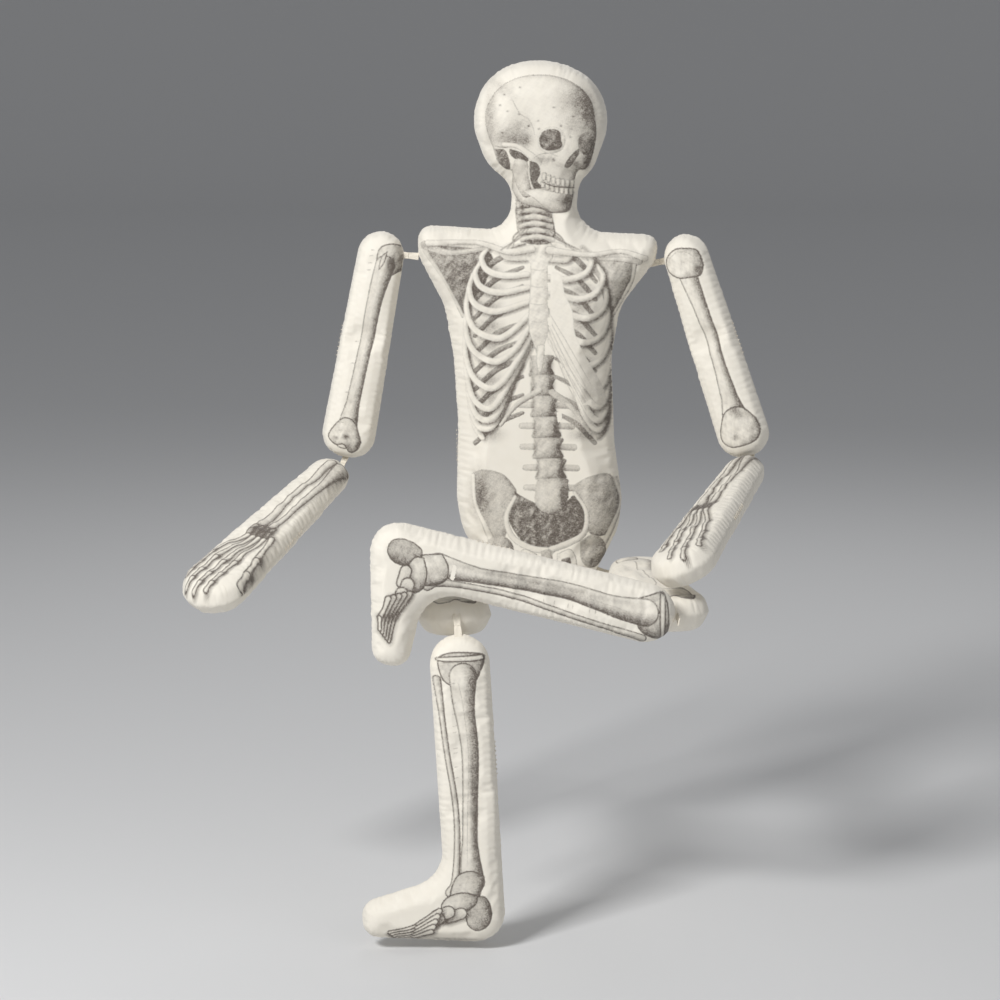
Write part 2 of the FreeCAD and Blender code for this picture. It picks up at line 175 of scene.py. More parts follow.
def stuff(name, seam_line, thickness, hang, seed, pucker=1.0, flat_below=None):
    """Sews two panels along the seam line and fills them; returns the finished cushion.

    thickness is a number or a function of the distance along.  hang puts the panel in its place,
    pucker is a share of the usual gathers, and flat_below is the seat that the cushion rests on.
    """
    seam = spread(seam_line * MM, SEAM_STEP)
    ring = len(seam)
    thick = thickness if callable(thickness) else (lambda along: np.full(len(along), float(thickness)))
    points, faces = [(x, y, 0.0) for x, y in seam], []
    for side, step in ((1, FRONT_STEP), (-1, BACK_STEP)):
        spots, triangles, old = cut_panel(seam, step)
        depth, _ = from_seam(spots, seam)
        full = thick(spots[:, 1] / MM) * MM
        rise = np.clip(depth / (full * 0.62), 0, 1)
        height = side * full / 2 * (1 - (1 - rise) ** 2.3) ** (1 / 2.1)
        place = {}
        for number, source in enumerate(old):
            if source < ring:
                place[number] = int(source)
            else:
                place[number] = len(points)
                points.append((spots[number][0], spots[number][1], height[number]))
        for a, b, c in triangles:
            a, b, c = place[a], place[b], place[c]
            faces.append((a, b, c) if side == 1 else (a, c, b))
    mesh = bpy.data.meshes.new(name)
    mesh.from_pydata(points, [], faces)
    mesh.update()
    cushion = bpy.data.objects.new(name, mesh)
    bpy.context.scene.collection.objects.link(cushion)
    start = np.array(points)
    held = cushion.vertex_groups.new(name="seam")
    held.add(range(ring), 1.0, "REPLACE")
    fabric = cushion.modifiers.new("fabric", "CLOTH")
    fabric.settings.quality = 4
    fabric.settings.mass = 0.2
    fabric.settings.use_pressure = True
    fabric.settings.uniform_pressure_force = FILL_PRESSURE
    fabric.settings.shrink_min = -FILL_STRETCH
    fabric.settings.bending_stiffness = 1.5
    fabric.settings.vertex_group_mass = "seam"
    fabric.settings.effector_weights.gravity = 0
    fabric.collision_settings.use_collision = False
    fabric.point_cache.frame_end = FILL_STEPS
    for step in range(1, FILL_STEPS + 1):
        bpy.context.scene.frame_set(step)
    filled = cushion.evaluated_get(bpy.context.evaluated_depsgraph_get()).to_mesh()
    now = np.array([point.co for point in filled.vertices])
    cushion.evaluated_get(bpy.context.evaluated_depsgraph_get()).to_mesh_clear()
    moved = now - start
    length = np.linalg.norm(moved, axis=1, keepdims=True)
    start = start + moved * np.minimum(1, SWELL_LIMIT / np.maximum(length, 1e-9))
    cushion.modifiers.remove(fabric)
    cushion.vertex_groups.clear()
    bpy.context.scene.frame_set(1)
    limit = thick(start[:, 1] / MM) * MM / 2 + 1.5 * MM
    start[:, 2] = np.clip(start[:, 2], -limit, limit)
    mesh.vertices.foreach_set("co", start.ravel())
    crease = mesh.attributes.new("crease_edge", "FLOAT", "EDGE")
    pairs = np.array([edge.vertices for edge in mesh.edges])
    crease.data.foreach_set("value", np.where((pairs < ring).all(1), 0.75, 0.0))
    bpy.ops.object.select_all(action="DESELECT")
    cushion.select_set(True)
    bpy.context.view_layer.objects.active = cushion
    finer = cushion.modifiers.new("finer", "SUBSURF")
    finer.levels = finer.render_levels = 2
    bpy.ops.object.modifier_apply(modifier="finer")
    mesh = cushion.data
    cloth = np.array([point.co for point in mesh.vertices])
    depth, round_it = from_seam(cloth[:, :2] / MM, seam_line)
    rng = np.random.default_rng(seed)
    waves = np.zeros(len(cloth))
    for pitch, drift, share in ((PUCKER_PITCH, 7, 0.5), (PUCKER_PITCH * 1.6, 11, 0.35), (57, 23, 0.4)):
        bend = 2.4 * np.sin(round_it / drift) + rng.uniform(0, 6.28)
        waves += np.cos(round_it * 2 * math.pi / pitch + bend) * share
    waves *= 0.3 + 0.7 * np.abs(np.sin(round_it / 27 + rng.uniform(0, 3)))
    near = np.exp(-np.abs(depth) / PUCKER_REACH)
    side = np.sign(cloth[:, 2]) * np.clip(np.abs(cloth[:, 2]) / (3 * MM), 0, 1)
    cloth[:, 2] += side * waves * near * PUCKER_DEPTH * pucker * MM
    middle = seam_line.mean(0) * MM
    inward = middle - cloth[:, :2]
    inward /= np.linalg.norm(inward, axis=1, keepdims=True)
    cloth[:, :2] += inward * (np.clip(waves, -1, 1) * np.exp(-np.abs(depth) / 4) * 0.7 * MM)[:, None]
    uv = mesh.uv_layers.new(name="panel")
    corners = np.array([loop.vertex_index for loop in mesh.loops])
    uv.data.foreach_set("uv", cloth[corners, :2].ravel())
    mesh.vertices.foreach_set("co", cloth.ravel())
    mesh.transform(hang)
    if flat_below is not None:
        rest = np.array([point.co for point in mesh.vertices])
        rest[:, 2] = np.maximum(rest[:, 2], flat_below)
        mesh.vertices.foreach_set("co", rest.ravel())
    mesh.update()
    for polygon in mesh.polygons:
        polygon.use_smooth = True
    return cushion, cloth / MM


class Engraving:
    """Ink laid on a front panel, drawn as bones, plates and lines over bare cloth.

    outline is how wide a bone's contour is, in millimetres, and rim how dark it is all round.
    """

    dark_side = np.array([0.85, -0.5])

    def __init__(self, spots, outline=1.0, rim=0.65):
        self.outline, self.rim = outline, rim
        self.front = spots[:, 2] > 0.5
        self.spots = spots[self.front, :2]
        self.ink = np.zeros(len(self.spots))
        self.rng = np.random.default_rng(len(spots))
        self.mottle = np.zeros(len(self.spots))
        for size in np.linspace(1.6, 9, 34):
            turn = self.rng.uniform(0, 2 * math.pi)
            way = np.array([math.cos(turn), math.sin(turn)]) * 2.6 / size
            self.mottle += np.sin(self.spots @ way + self.rng.uniform(0, 6)) / 11

    def near(self, line, reach):
        """Distance to an open line, the side of it, and the way along it, for spots within reach."""
        line = np.array(line, float)
        low, high = line.min(0) - reach, line.max(0) + reach
        chosen = np.where(((self.spots > low) & (self.spots < high)).all(1))[0]
        here = self.spots[chosen]
        best = np.full(len(chosen), 1e9)
        side, along = np.zeros(len(chosen)), np.zeros(len(chosen))
        facing = np.zeros((len(chosen), 2))
        total = np.linalg.norm(np.diff(line, axis=0), axis=1).sum()
        run = 0.0
        for start, end in zip(line[:-1], line[1:]):
            way = end - start
            length = np.linalg.norm(way)
            if length < 1e-6:
                continue
            share = np.clip((here - start) @ way / length ** 2, 0, 1)
            off = here - start - share[:, None] * way
            gap = np.linalg.norm(off, axis=1)
            closer = gap < best
            best = np.where(closer, gap, best)
            across = np.array([way[1], -way[0]]) / length
            side = np.where(closer, off @ across, side)
            along = np.where(closer, (run + share * length) / total, along)
            facing[closer] = across
            run += length
        return chosen, best, side, along, facing

    def curve(self, points):
        """A smooth open line through the points."""
        p = np.array(points, float)
        if len(p) < 3:
            return p
        p = np.vstack([2 * p[0] - p[1], p, 2 * p[-1] - p[-2]])
        out = []
        for a, b, c, d in zip(p, p[1:], p[2:], p[3:]):
            for t in np.linspace(0, 1, 6, endpoint=False):
                out.append(0.5 * (2 * b + (c - a) * t + (2 * a - 5 * b + 4 * c - d) * t * t
                                  + (3 * b - a - 3 * c + d) * t ** 3))
        out.append(p[-2])
        return np.array(out)

    def lay(self, chosen, depth, tone, soft=0.9):
        """Prints a tone over what is there, with a soft edge where depth is nought."""
        cover = np.clip(depth / soft + 0.5, 0, 1)
        self.ink[chosen] = self.ink[chosen] * (1 - cover) + np.clip(tone, 0, 1) * cover

    def bone(self, points, widths, light=0.08, shade=0.5, edge=0.55, cast=0.0):
        """A round bone along a line, its widths spread evenly along it, darker on its far side."""
        line = self.curve(points)
        chosen, gap, side, along, facing = self.near(line, max(widths) / 2 + 6)
        radius = np.interp(along, np.linspace(0, 1, len(widths)), widths) / 2
        depth = radius - gap
        round_ = np.clip(side / np.maximum(radius, 0.1), -1, 1)
        lit = round_ * (facing @ self.dark_side)
        if cast:
            fall = np.clip(1 + depth / 6, 0, 1) * np.clip(0.4 + lit, 0, 1) * cast
            self.ink[chosen] = 1 - (1 - self.ink[chosen]) * (1 - np.where(depth < 0, fall, 0))
        tone = light + shade * np.clip(lit * 0.9 + 0.12, 0, 1) ** 1.3 + 0.10 * self.mottle[chosen] * shade
        tone = np.maximum(tone, edge * np.exp(-(np.clip(depth, 0, 9) / self.outline) ** 2)
                          * np.minimum(self.rim + 0.5 * lit, 1.3))
        self.lay(chosen, depth, tone)

    def plate(self, points, light=0.1, shade=0.4, edge=0.6, reach=14, mottle=0.12, glow=0.0):
        """A flat or hollow shape inside a closed line, darker towards its far rim."""
        ring = np.array(points, float)
        ring = self.curve(np.vstack([ring, ring[:1]]))[:-1]
        low, high = ring.min(0) - 3, ring.max(0) + 3
        chosen = np.where(((self.spots > low) & (self.spots < high)).all(1))[0]
        if not len(chosen):
            return
        here = self.spots[chosen]
        depth, _ = from_seam(here, ring)
        middle = ring.mean(0)
        half = np.maximum((ring.max(0) - ring.min(0)) / 2, 1)
        lit = np.clip(((here - middle) / half) @ self.dark_side, -1, 1)
        rim = np.exp(-np.clip(depth, 0, 99) / reach)
        tone = light + shade * np.clip(0.25 + 0.75 * lit, 0, 1) * (0.45 + 0.55 * rim)
        tone = tone + mottle * self.mottle[chosen] + glow * np.exp(-np.clip(depth, 0, 99)
                / 4) * (0.8 + 0.5 * lit)
        tone = np.maximum(tone,
                          edge * np.exp(-(np.clip(depth, 0, 99) / self.outline) ** 2) * (self.rim + 0.15
                + 0.3 * lit))
        self.lay(chosen, depth, tone)

    def line(self, points, width=0.9, dark=0.6, smooth=True):
        """One stroke, thinner at its ends."""
        line = self.curve(points) if smooth else np.array(points, float)
        chosen, gap, _, along, _ = self.near(line, width * 2 + 2)
        stroke = dark * np.clip(1.2 - gap / (width * 0.8), 0,
                                1) * (0.55 + 0.45 * np.sin(along * math.pi) ** 0.5)
        self.ink[chosen] = np.maximum(self.ink[chosen], stroke)

    def smudge(self, at, size, dark, turn=0.0):
        """A soft patch of shading."""
        c, s = math.cos(turn), math.sin(turn)
        off = (self.spots - np.array(at)) @ np.array([[c, -s], [s, c]]) / np.array(size)
        fall = np.exp(-(off ** 2).sum(1) * 1.6) * dark
        fall = fall * (1 + 0.22 * self.mottle)
        self.ink = 1 - (1 - self.ink) * (1 - np.clip(fall, 0, 1))

    def done(self, cushion):
        """Leaves the drawing on the cushion's front, as a value at each point of its cloth."""
        whole = np.zeros(len(self.front))
        grain = 1 + 0.16 * self.rng.normal(size=len(self.ink))
        whole[self.front] = np.clip((self.ink * 1.35 - 0.02) * grain, 0, 1)
        cushion.data.attributes.new("ink", "FLOAT", "POINT").data.foreach_set("value", whole)


trunk_line = rounded([(-68, 0, 30), (58, 0, 30), (103, 88, 60), (108, 130, 60), (97, 210, 90),
                      (92, 330, 80), (104, 400, 60), (152, 462, 14), (158, 498, 22), (66, 503, 30),
                      (42, 528, 26), (46, 570, 30), (66, 590, 34), (88, 650, 60), (72, 712, 60),
                      (-4, 743, 90), (-80, 722, 60), (-104, 655, 60), (-82, 596, 50), (-46, 566, 30),
                      (-49, 526, 24), (-68, 506, 24), (-178, 513, 24), (-176, 470, 20), (-140, 400, 60),
                      (-128, 330, 90), (-122, 240, 90), (-124, 130, 60), (-116, 88, 60)])
front_panel_way = Matrix(((1, 0, 0, 0), (0, 0, -1, 0), (0, 1, 0, 0), (0, 0, 0, 1)))


def trunk_thickness(along):
    return np.interp(along, [0, 40, 440, 500, 530, 560, 600, 640, 760],
                     [88, 100, 100, 74, 62, 64, 86, 94, 94])


torso, spots = stuff("torso_cushion", trunk_line, trunk_thickness, front_panel_way, seed=3,
                     flat_below=0.0005)
art = Engraving(spots)

# spine behind everything, then shoulder blades, ribs, breastbone and collar bones
for number, (height, middle, width) in enumerate(((322, -6, 33), (295, -4, 34), (266, -2, 36), (237, 1, 38),
                                                   (208, 3, 40), (179, 7, 40), (151, 9, 42))):
    right, left = middle + width / 2, middle - width / 2
    if number > 1:
        art.bone([(right - 8, height + 2), (right + 16, height + 1)], [7, 9, 9], 0.22, 0.5, 0.7)
        art.bone([(left + 8, height + 2), (left - 15, height + 2)], [7, 9, 8], 0.14, 0.35, 0.6)
    art.plate([(left, height + 14), (right, height + 14), (right - 4, height), (right, height - 14),
               (left, height - 14), (left + 4, height)], 0.16, 0.42, 0.5, 14, mottle=0.10, glow=0.25)
    art.smudge((right - 5, height), (6, 15), 0.5)
    art.smudge((left + 2, height), (3, 13), 0.35)
    art.smudge((middle - 3, height), (6, 11), -0.25)
    art.line([(left, height - 14), (middle, height - 16), (right, height - 14)], 1.8, 0.62)
art.plate([(-164, 488), (-80, 478), (-78, 450), (-92, 420), (-112, 390), (-118, 392), (-138, 436),
           (-158, 466)], 0.42, 0.25, 0.75, 20, mottle=0.16, glow=0.15)
art.plate([(128, 470), (60, 462), (72, 440), (82, 400), (90, 388), (112, 430), (122, 450)], 0.24, 0.36,
          0.75, 18, mottle=0.12, glow=0.2)
art.smudge((-120, 450), (26, 22), 0.22)
art.smudge((-100, 420), (14, 28), 0.25)
art.bone([(-166, 478), (-140, 440), (-114, 390)], [7, 4, 5], 0.15, 0.35, 0.55)
art.bone([(122, 462), (116, 430), (90, 384)], [6, 4, 5], 0.12, 0.45, 0.6)
art.bone([(-166, 486), (-130, 476), (-84, 482)], [12, 7, 6], 0.18, 0.5, 0.7)
art.bone([(128, 464), (100, 468), (58, 468)], [9, 6, 5], 0.14, 0.5, 0.7)
RIB_TONE = dict(light=0.03, shade=0.45, edge=0.5, cast=0.6)
for level in range(10):                                   # the far halves of the ribs, seen between
    for way, wide, middle in ((-1, 88, -14), (1, 76, -4)):
        drop = 452 - level * 25
        art.bone([(middle + way * 18, drop + 30), (middle + way * wide * 0.62, drop + 14),
                  (middle + way * wide * 0.95, drop - 14)], [5, 8, 6], 0.42, 0.3, 0.7)
        art.smudge((middle + way * wide * 0.72, drop), (22, 12), 0.34)
# each rib of a half runs from its outer bend to the breastbone
RIGHT_RIBS = (
    [(-28, 492), (-46, 488), (-60, 479), (-52, 471), (-28, 470)],
    [(-78, 484), (-88, 470), (-80, 453), (-56, 446), (-26, 448)],
    [(-90, 464), (-97, 448), (-88, 430), (-62, 423), (-25, 430)],
    [(-100, 448), (-105, 426), (-96, 406), (-68, 397), (-25, 410)],
    [(-106, 430), (-109, 400), (-98, 372), (-66, 360), (-44, 372), (-24, 392)],
    [(-108, 404), (-110, 368), (-98, 340), (-68, 328), (-42, 346), (-23, 376)],
    [(-110, 378), (-111, 336), (-98, 302), (-70, 292), (-44, 322), (-21, 364)],
    [(-110, 348), (-109, 306), (-98, 272), (-74, 264), (-50, 300), (-22, 352)],
    [(-108, 318), (-106, 280), (-94, 250), (-72, 250), (-54, 284), (-36, 322)],
    [(-106, 290), (-103, 258), (-92, 236), (-74, 238), (-60, 262), (-50, 292)],
    [(-104, 262), (-98, 238), (-88, 222)],
)
LEFT_RIBS = (
    [(2, 490), (18, 486), (34, 476), (28, 468), (6, 468)],
    [(50, 480), (62, 466), (54, 449), (30, 441), (4, 444)],
    [(70, 460), (78, 444), (70, 424), (44, 414), (4, 424)],
    [(78, 438), (83, 416), (76, 396), (50, 388), (5, 404)],
    [(82, 414), (86, 386), (76, 362), (52, 354), (26, 368), (5, 390)],
    [(86, 388), (88, 356), (78, 330), (54, 322), (28, 346), (4, 378)],
    [(88, 360), (89, 322), (80, 292), (60, 290), (34, 324), (4, 366)],
    [(88, 332), (88, 294), (80, 266), (64, 268), (42, 302), (6, 356)],
    [(88, 304), (87, 270), (78, 246), (64, 250), (48, 278), (26, 318)],
    [(87, 278), (84, 250), (76, 232), (64, 238), (52, 258), (42, 284)],
    [(86, 252), (80, 232), (74, 224)],
)
for right, left in reversed(list(zip(RIGHT_RIBS, LEFT_RIBS))):
    art.bone(right, [5, 8, 9, 9.5, 9, 8], **RIB_TONE)
    art.bone(left, [5, 8, 9, 9.5, 9, 8], light=0.05, shade=0.6, edge=0.55, cast=0.6)
art.plate([(6, 452), (20, 446), (26, 420), (36, 398), (40, 366), (54, 336), (78, 292), (84, 268),
           (70, 268), (46, 304), (20, 344), (6, 368)], 0.03, 0.14, 0.22, 10, mottle=0.04)
for low in range(5):
    art.line([(6, 392 - low * 9), (30, 352 - low * 14), (62 - low * 2, 296 - low * 12)], 1.1, 0.30)
art.bone([(-9, 288), (-40, 268), (-62, 240)], [9, 8, 6, 5], 0.16, 0.5, 0.7)
art.bone([(8, 286), (36, 264), (62, 228)], [9, 8, 6, 5], 0.22, 0.5, 0.7)
art.plate([(-27, 490), (6, 490), (9, 470), (2, 455), (4, 380), (-2, 352), (-10, 336), (-17, 352),
           (-24, 380), (-21, 455), (-28, 470)], 0.05, 0.22, 0.45, 10)
for height in (455, 432, 408, 384):
    art.line([(-22, height), (-10, height - 2), (3, height)], 1.0, 0.28)
art.plate([(-12, 350), (-2, 350), (-4, 322), (-9, 312), (-13, 326)], 0.04, 0.3, 0.5, 6)
art.bone([(-20, 482), (-52, 478), (-96, 490), (-162, 489)], [11, 8, 6, 9], 0.08, 0.5, 0.7, 0.35)
art.bone([(4, 480), (34, 476), (66, 474), (104, 478), (136, 468)], [11, 8, 7, 6, 9], 0.08, 0.5, 0.7, 0.35)
art.plate([(-38, 566), (0, 560), (8, 530), (10, 492), (-32, 492), (-42, 530)], 0.34, 0.3, 0.5, 12,
          mottle=0.25)
for height in range(0, 8):                                # neck bones, and the cords beside them
    z = 560 - height * 9
    shift = -20 + height * 1.0
    art.bone([(shift - 19, z - 3), (shift, z + 1), (shift + 22, z - 3)], [7, 8, 7], 0.16, 0.6, 0.75)
    art.smudge((shift + 10, z - 4), (7, 3), 0.5)
    art.smudge((shift - 12, z - 4), (6, 2.5), 0.4)
    art.line([(shift - 18, z - 5), (shift, z - 5), (shift + 20, z - 6)], 1.7, 0.85)
art.smudge((-33, 538), (5, 30), 0.4)
art.smudge((4, 534), (8, 34), 0.35)
art.smudge((-15, 534), (3.5, 30), -0.6)
for way, foot in ((-1, -62), (1, 46)):
    for spare in range(3):
        art.line([(-14 + way * (8 + spare * 3), 512), (-12 + way * (22 + spare * 5), 498),
                  (foot - way * spare * 9, 480 + spare * 2)], 2.2, 0.5)

# pelvis: the two wings, the sacrum between them and the ring below
art.plate([(-100, 172), (-84, 178), (-60, 172), (-46, 158), (-40, 144), (-48, 118), (-56, 84),
           (-70, 76), (-80, 80), (-92, 112), (-101, 140)], 0.20, 0.12, 0.7, 16, mottle=0.08, glow=0.3)
art.smudge((-90, 140), (16, 40), 0.5)
art.smudge((-52, 130), (9, 34), -0.5)
art.plate([(38, 156), (60, 168), (84, 170), (98, 158), (106, 130), (98, 104), (84, 84), (62, 88),
           (54, 110), (46, 136)], 0.24, 0.3, 0.7, 16, mottle=0.1, glow=0.2)
art.smudge((76, 140), (20, 22), 0.2)
art.plate([(-42, 146), (-20, 134), (0, 126), (24, 128), (40, 142), (54, 118), (52, 88), (34, 74),
           (6, 64), (-24, 70), (-46, 96), (-50, 116)], 0.56, 0.18, 0.75, 16, mottle=0.22, glow=0.1)
for row in range(4):
    for way in (-1, 1):
        art.smudge((2 + way * (18 - row * 2), 112 - row * 13), (3.4, 2.6), 0.75)
    art.line([(-12, 106 - row * 13), (4, 104 - row * 13), (18, 106 - row * 13)], 1.1, 0.7)
art.plate([(-12, 162), (28, 162), (30, 136), (24, 122), (8, 116), (-8, 122), (-15, 136)], 0.14, 0.4,
          0.6, 10, mottle=0.08, glow=0.25)
art.smudge((24, 142), (7, 22), 0.5)
art.line([(-12, 122), (8, 115), (26, 122)], 3.0, 0.6)
art.bone([(-42, 140), (-54, 112), (-46, 84), (-20, 68), (8, 64)], [5, 7, 8, 9, 9], 0.06, 0.3, 0.6)
art.bone([(40, 146), (56, 120), (54, 90), (34, 76), (8, 66)], [5, 6, 8, 9, 9], 0.10, 0.4, 0.6)
art.bone([(-100, 168), (-97, 130), (-82, 96), (-72, 70)], [6, 5, 7, 10], 0.06, 0.35, 0.6)
art.bone([(98, 160), (107, 128), (94, 96), (76, 62)], [6, 6, 8, 10], 0.10, 0.5, 0.6)
for way, hip in ((-1, -62), (1, 66)):
    art.plate([(hip - 18, 78), (hip, 86), (hip + 16, 74), (hip + 18, 50), (hip, 36), (hip - 16, 50)],
              0.3, 0.5, 0.7, 9)
    art.plate([(way * 14 + 2, 60), (way * 34 + 2, 66), (way * 44, 40), (way * 32, 14),
               (way * 14 + 2, 24)], 0.04, 0.3, 0.7, 8)
    art.plate([(way * 20 + 2, 52), (way * 32 + 2, 54), (way * 35, 38), (way * 26, 26)], 0.6, 0.2, 0.7, 8)
art.plate([(-6, 64), (8, 64), (10, 30), (2, 22), (-6, 30)], 0.3, 0.4, 0.7, 6)

# skull, turned a little to its left
art.plate([(-47, 562), (-36, 545), (-8, 536), (10, 530), (32, 534), (36, 552), (38, 572), (44, 588),
           (54, 590), (62, 604), (68, 634), (66, 660), (60, 684), (44, 702), (20, 714), (-12, 718),
           (-44, 712), (-68, 696), (-82, 670), (-81, 644), (-72, 618), (-66, 600), (-54, 590),
           (-46, 586)], 0.03, 0.30, 0.85, 22, mottle=0.035, glow=0.46)
art.smudge((56, 668), (16, 36), 0.50, 0.25)
art.smudge((38, 682), (30, 22), 0.30)
art.smudge((36, 650), (18, 16), 0.22)
art.smudge((-76, 664), (9, 40), 0.32)
art.smudge((-60, 700), (26, 10), 0.18, -0.7)
art.smudge((-50, 636), (30, 18), 0.32)
art.smudge((-44, 628), (26, 9), 0.28)
art.smudge((-34, 650), (18, 22), 0.20)
art.smudge((-4, 690), (34, 20), -0.3)
art.smudge((-28, 628), (8, 10), 0.35)
art.line([(-48, 688), (-40, 672), (-34, 664), (-24, 658), (-18, 646), (-16, 636)], 1.3, 0.32)
art.line([(-72, 622), (-58, 620), (-44, 622), (-30, 618)], 2.0, 0.5)
for x, y in ((-36, 701), (-57, 691), (-63, 677), (-53, 669), (10, 674), (36, 662), (-11, 656),
             (-37, 665), (-60, 640), (-24, 649), (20, 649), (34, 645), (33, 634), (-10, 645), (2, 547)):
    art.smudge((x, y), (2.2, 1.5), 0.42)
# hollow behind the cheek bone, the ear opening and the process below it
art.plate([(-70, 618), (-56, 616), (-50, 600), (-50, 590), (-58, 592), (-66, 602)], 0.55, 0.25, 0.75, 6,
          mottle=0.2)
art.plate([(-50, 618), (-36, 614), (-24, 604), (-30, 600), (-42, 604), (-50, 612)], 0.62, 0.2, 0.8, 6,
          mottle=0.2)
art.bone([(-58, 624), (-40, 622), (-22, 610), (-12, 600)], [6, 6, 8, 12], 0.05, 0.25, 0.5)
art.plate([(-23, 602), (-12, 598), (-8, 586), (-12, 574), (-6, 566), (-14, 560), (-22, 578)], 0.6, 0.25,
          0.75, 6)
art.plate([(-46, 588), (-40, 566), (-30, 552), (-20, 556), (-24, 580), (-26, 600), (-42, 604)], 0.12,
          0.2, 0.6, 10, mottle=0.06, glow=0.2)
# jaw
art.plate([(-32, 560), (-14, 548), (6, 532), (30, 532), (36, 546), (36, 562), (8, 560), (-10, 564)],
          0.04, 0.4, 0.65, 12, mottle=0.05, glow=0.22)
art.smudge((29, 546), (9, 16), 0.55)
art.smudge((14, 548), (12, 8), 0.18)
# eye sockets: the rim, then the hollow
art.plate([(-12, 634), (-6, 644), (8, 648), (20, 644), (26, 632), (22, 618), (10, 612), (-4, 614),
           (-11, 622)], 0.10, 0.25, 0.35, 8)
art.plate([(-10, 632), (-4, 642), (8, 645), (18, 641), (20, 630), (21, 621), (8, 616), (-4, 618),
           (-9, 625)], 0.46, 0.2, 0.85, 8, mottle=0.2, glow=0.25)
art.smudge((0, 630), (6, 7), 0.55)
art.smudge((13, 627), (6, 3), 0.3)
art.plate([(43, 626), (46, 636), (54, 640), (63, 636), (64, 624), (60, 612), (52, 610), (45, 616)],
          0.45, 0.3, 0.85, 6, mottle=0.1)
art.smudge((55, 626), (5, 5), -0.4)
art.smudge((46, 630), (4, 8), 0.4)
# nose opening
art.plate([(44, 618), (36, 612), (28, 602), (25, 594), (30, 592), (36, 598), (41, 606), (45, 612)],
          0.58, 0.25, 0.85, 4, mottle=0.15)
art.line([(44, 616), (36, 606), (29, 596)], 1.6, 0.1)
art.smudge((40, 598), (6, 6), 0.35)
art.smudge((56, 600), (7, 14), 0.5)
art.smudge((-4, 604), (18, 7), 0.30)
art.smudge((18, 596), (8, 5), 0.16)
art.line([(-20, 602), (-10, 610), (2, 612), (16, 608)], 1.5, 0.35)
art.smudge((10, 603), (2.2, 2.6), 0.5)
# teeth: an upper and a lower row, rising and widening towards the back of the jaw
for row, (height, tall) in enumerate(((570, 11), (559, 10))):
    for tooth in range(7):
        across = 36 - tooth * 6.5 - row * 1.5
        z = height + tooth * tooth * 0.22 + tooth * 0.4
        wide = 5.6 + tooth * 0.12
        art.plate([(across - wide / 2, z + tall / 2.4), (across, z + tall / 2),
                   (across + wide / 2, z + tall / 2.4), (across + wide / 2.1, z),
                   (across + wide / 2.3, z - tall / 2.4), (across, z - tall / 2),
                   (across - wide / 2.3, z - tall / 2.4), (across - wide / 2.1, z)], 0.01, 0.16, 0.75,
                  3, mottle=0.0, glow=0.12)
art.line([(39, 564), (10, 567), (-6, 573)], 1.5, 0.75)
art.line([(40, 576), (14, 578), (-6, 584)], 1.2, 0.3)
art.done(torso)


def weave_group():
    """Plain weave: threads over and under each other, with slubs; gives a height and a shade."""
    group = bpy.data.node_groups.new("plain_weave", "ShaderNodeTree")
    group.interface.new_socket("Vector", in_out="INPUT", socket_type="NodeSocketVector")
    group.interface.new_socket("Pitch", in_out="INPUT", socket_type="NodeSocketFloat")
    group.interface.new_socket("Height", in_out="OUTPUT", socket_type="NodeSocketFloat")
    group.interface.new_socket("Shade", in_out="OUTPUT", socket_type="NodeSocketFloat")
    add, link = group.nodes.new, group.links.new
    source, out = add("NodeGroupInput"), add("NodeGroupOutput")
    waves = []
    for direction in ("X", "Y"):
        wave = add("ShaderNodeTexWave")
        wave.bands_direction = direction
        wave.inputs["Distortion"].default_value = 0.6
        wave.inputs["Detail"].default_value = 1.0
        link(source.outputs["Vector"], wave.inputs["Vector"])
        link(source.outputs["Pitch"], wave.inputs["Scale"])
        waves.append(wave)
    both = add("ShaderNodeMath")
    both.operation = "ADD"
    for number, wave in enumerate(waves):
        link(wave.outputs["Fac"], both.inputs[number])
    slub = add("ShaderNodeTexNoise")
    slub.inputs["Scale"].default_value = 60
    slub.inputs["Detail"].default_value = 4
    link(source.outputs["Vector"], slub.inputs["Vector"])
    link(both.outputs[0], out.inputs["Height"])
    link(slub.outputs["Fac"], out.inputs["Shade"])
    return group


